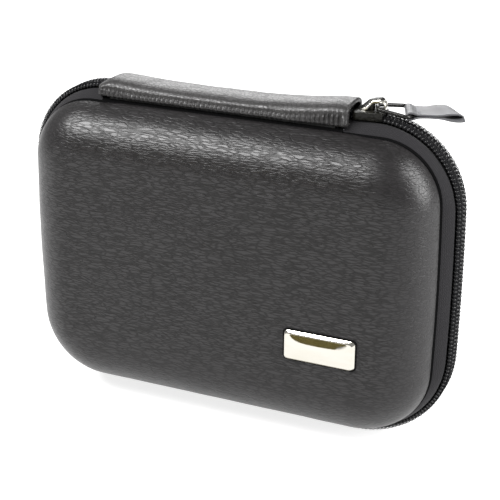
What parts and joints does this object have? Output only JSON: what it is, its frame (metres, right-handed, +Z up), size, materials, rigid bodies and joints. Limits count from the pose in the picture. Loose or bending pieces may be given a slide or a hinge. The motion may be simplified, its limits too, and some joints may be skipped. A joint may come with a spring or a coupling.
{
  "type": "zip-up hard case",
  "caption": "Small moulded hard case that stands on its zip: two leatherette-covered bowls joined by a padded spine, closed by a coil zip round three sides with a ring and ribbon pull.",
  "frame": {"origin": "middle of the bottom run of the zip, under the middle of the case", "axes": "+X to the right along the spine, -Y out of the front face, +Z up from the bottom zip run to the spine"},
  "size_m": [0.156, 0.0466, 0.1179],
  "materials": {
    "leatherette": "grained, satin",
    "moulded_foam": "closed-cell EVA foam, matte",
    "lining_cloth": "brushed knit",
    "binding_tape": "woven, matte",
    "zip_tape": "fine woven, matte",
    "zip_coil": "moulded nylon, glossy",
    "chrome_plate": "polished",
    "steel_washer": "bare",
    "net_mesh": "open net",
    "woven_elastic": "ribbed weave",
    "slider_metal": "polished nickel",
    "link_wire": "black electroplate",
    "satin_ribbon": "smooth satin",
    "thread": "spun"
  },
  "bodies": {
    "back": {"back_skin": "leatherette", "back_shell": "moulded_foam", "back_lining": "lining_cloth", "back_binding": "binding_tape", "back_zip_tape": "zip_tape", "back_zip_coil": "zip_coil", "elastic_band": "woven_elastic"},
    "spine": {"spine_leather": "leatherette", "spine_core": "moulded_foam", "spine_lining": "lining_cloth", "zip_end_coil_front_left": "zip_coil", "zip_end_coil_front_right": "zip_coil", "zip_end_coil_back_left": "zip_coil", "zip_end_coil_back_right": "zip_coil", "zip_end_tape_front_left": "zip_tape", "zip_end_tape_front_right": "zip_tape", "zip_end_tape_back_left": "zip_tape", "zip_end_tape_back_right": "zip_tape"},
    "lid": {"lid_skin": "leatherette", "lid_shell": "moulded_foam", "lid_lining": "lining_cloth", "lid_binding": "binding_tape", "lid_zip_tape": "zip_tape", "lid_zip_coil": "zip_coil", "badge_plate": "chrome_plate", "plate_washer": "steel_washer", "pocket_mesh": "net_mesh", "pocket_hem": "woven_elastic"},
    "slider": {"slider_body": "slider_metal", "slider_bridge": "slider_metal"},
    "pull_link": {"pull_link": "link_wire"},
    "pull_strap": {"pull_strap": "satin_ribbon", "strap_stitches": "thread"}
  },
  "joints": [
    {"name": "spine_fold", "type": "hinge", "parent": "back", "child": "spine", "pos_m": [0, 0.0086, 0.108], "axis": [-1, 0, 0], "range_deg": [0, 90]},
    {"name": "lid_open", "type": "hinge", "parent": "spine", "child": "lid", "pos_m": [0, -0.0086, 0.108], "axis": [-1, 0, 0], "range_deg": [0, 90]},
    {"name": "slider_travel", "type": "hinge", "parent": "spine", "child": "slider", "pos_m": [0.047, 0, 0.0835], "axis": [0, 1, 0], "range_deg": [0, 14]},
    {"name": "link_swing", "type": "hinge", "parent": "slider", "child": "pull_link", "pos_m": [0.04758, 0, 0.1152], "axis": [0.342, -0.9397, 0], "range_deg": [0, 125]},
    {"name": "strap_swing", "type": "hinge", "parent": "pull_link", "child": "pull_strap", "pos_m": [0.05688, 0.00339, 0.11381], "axis": [0.342, -0.9397, 0], "range_deg": [-15, 45]}
  ],
  "couplings": [
    {"joint": "spine_fold", "follows": "lid_open", "ratio": 1}
  ]
}
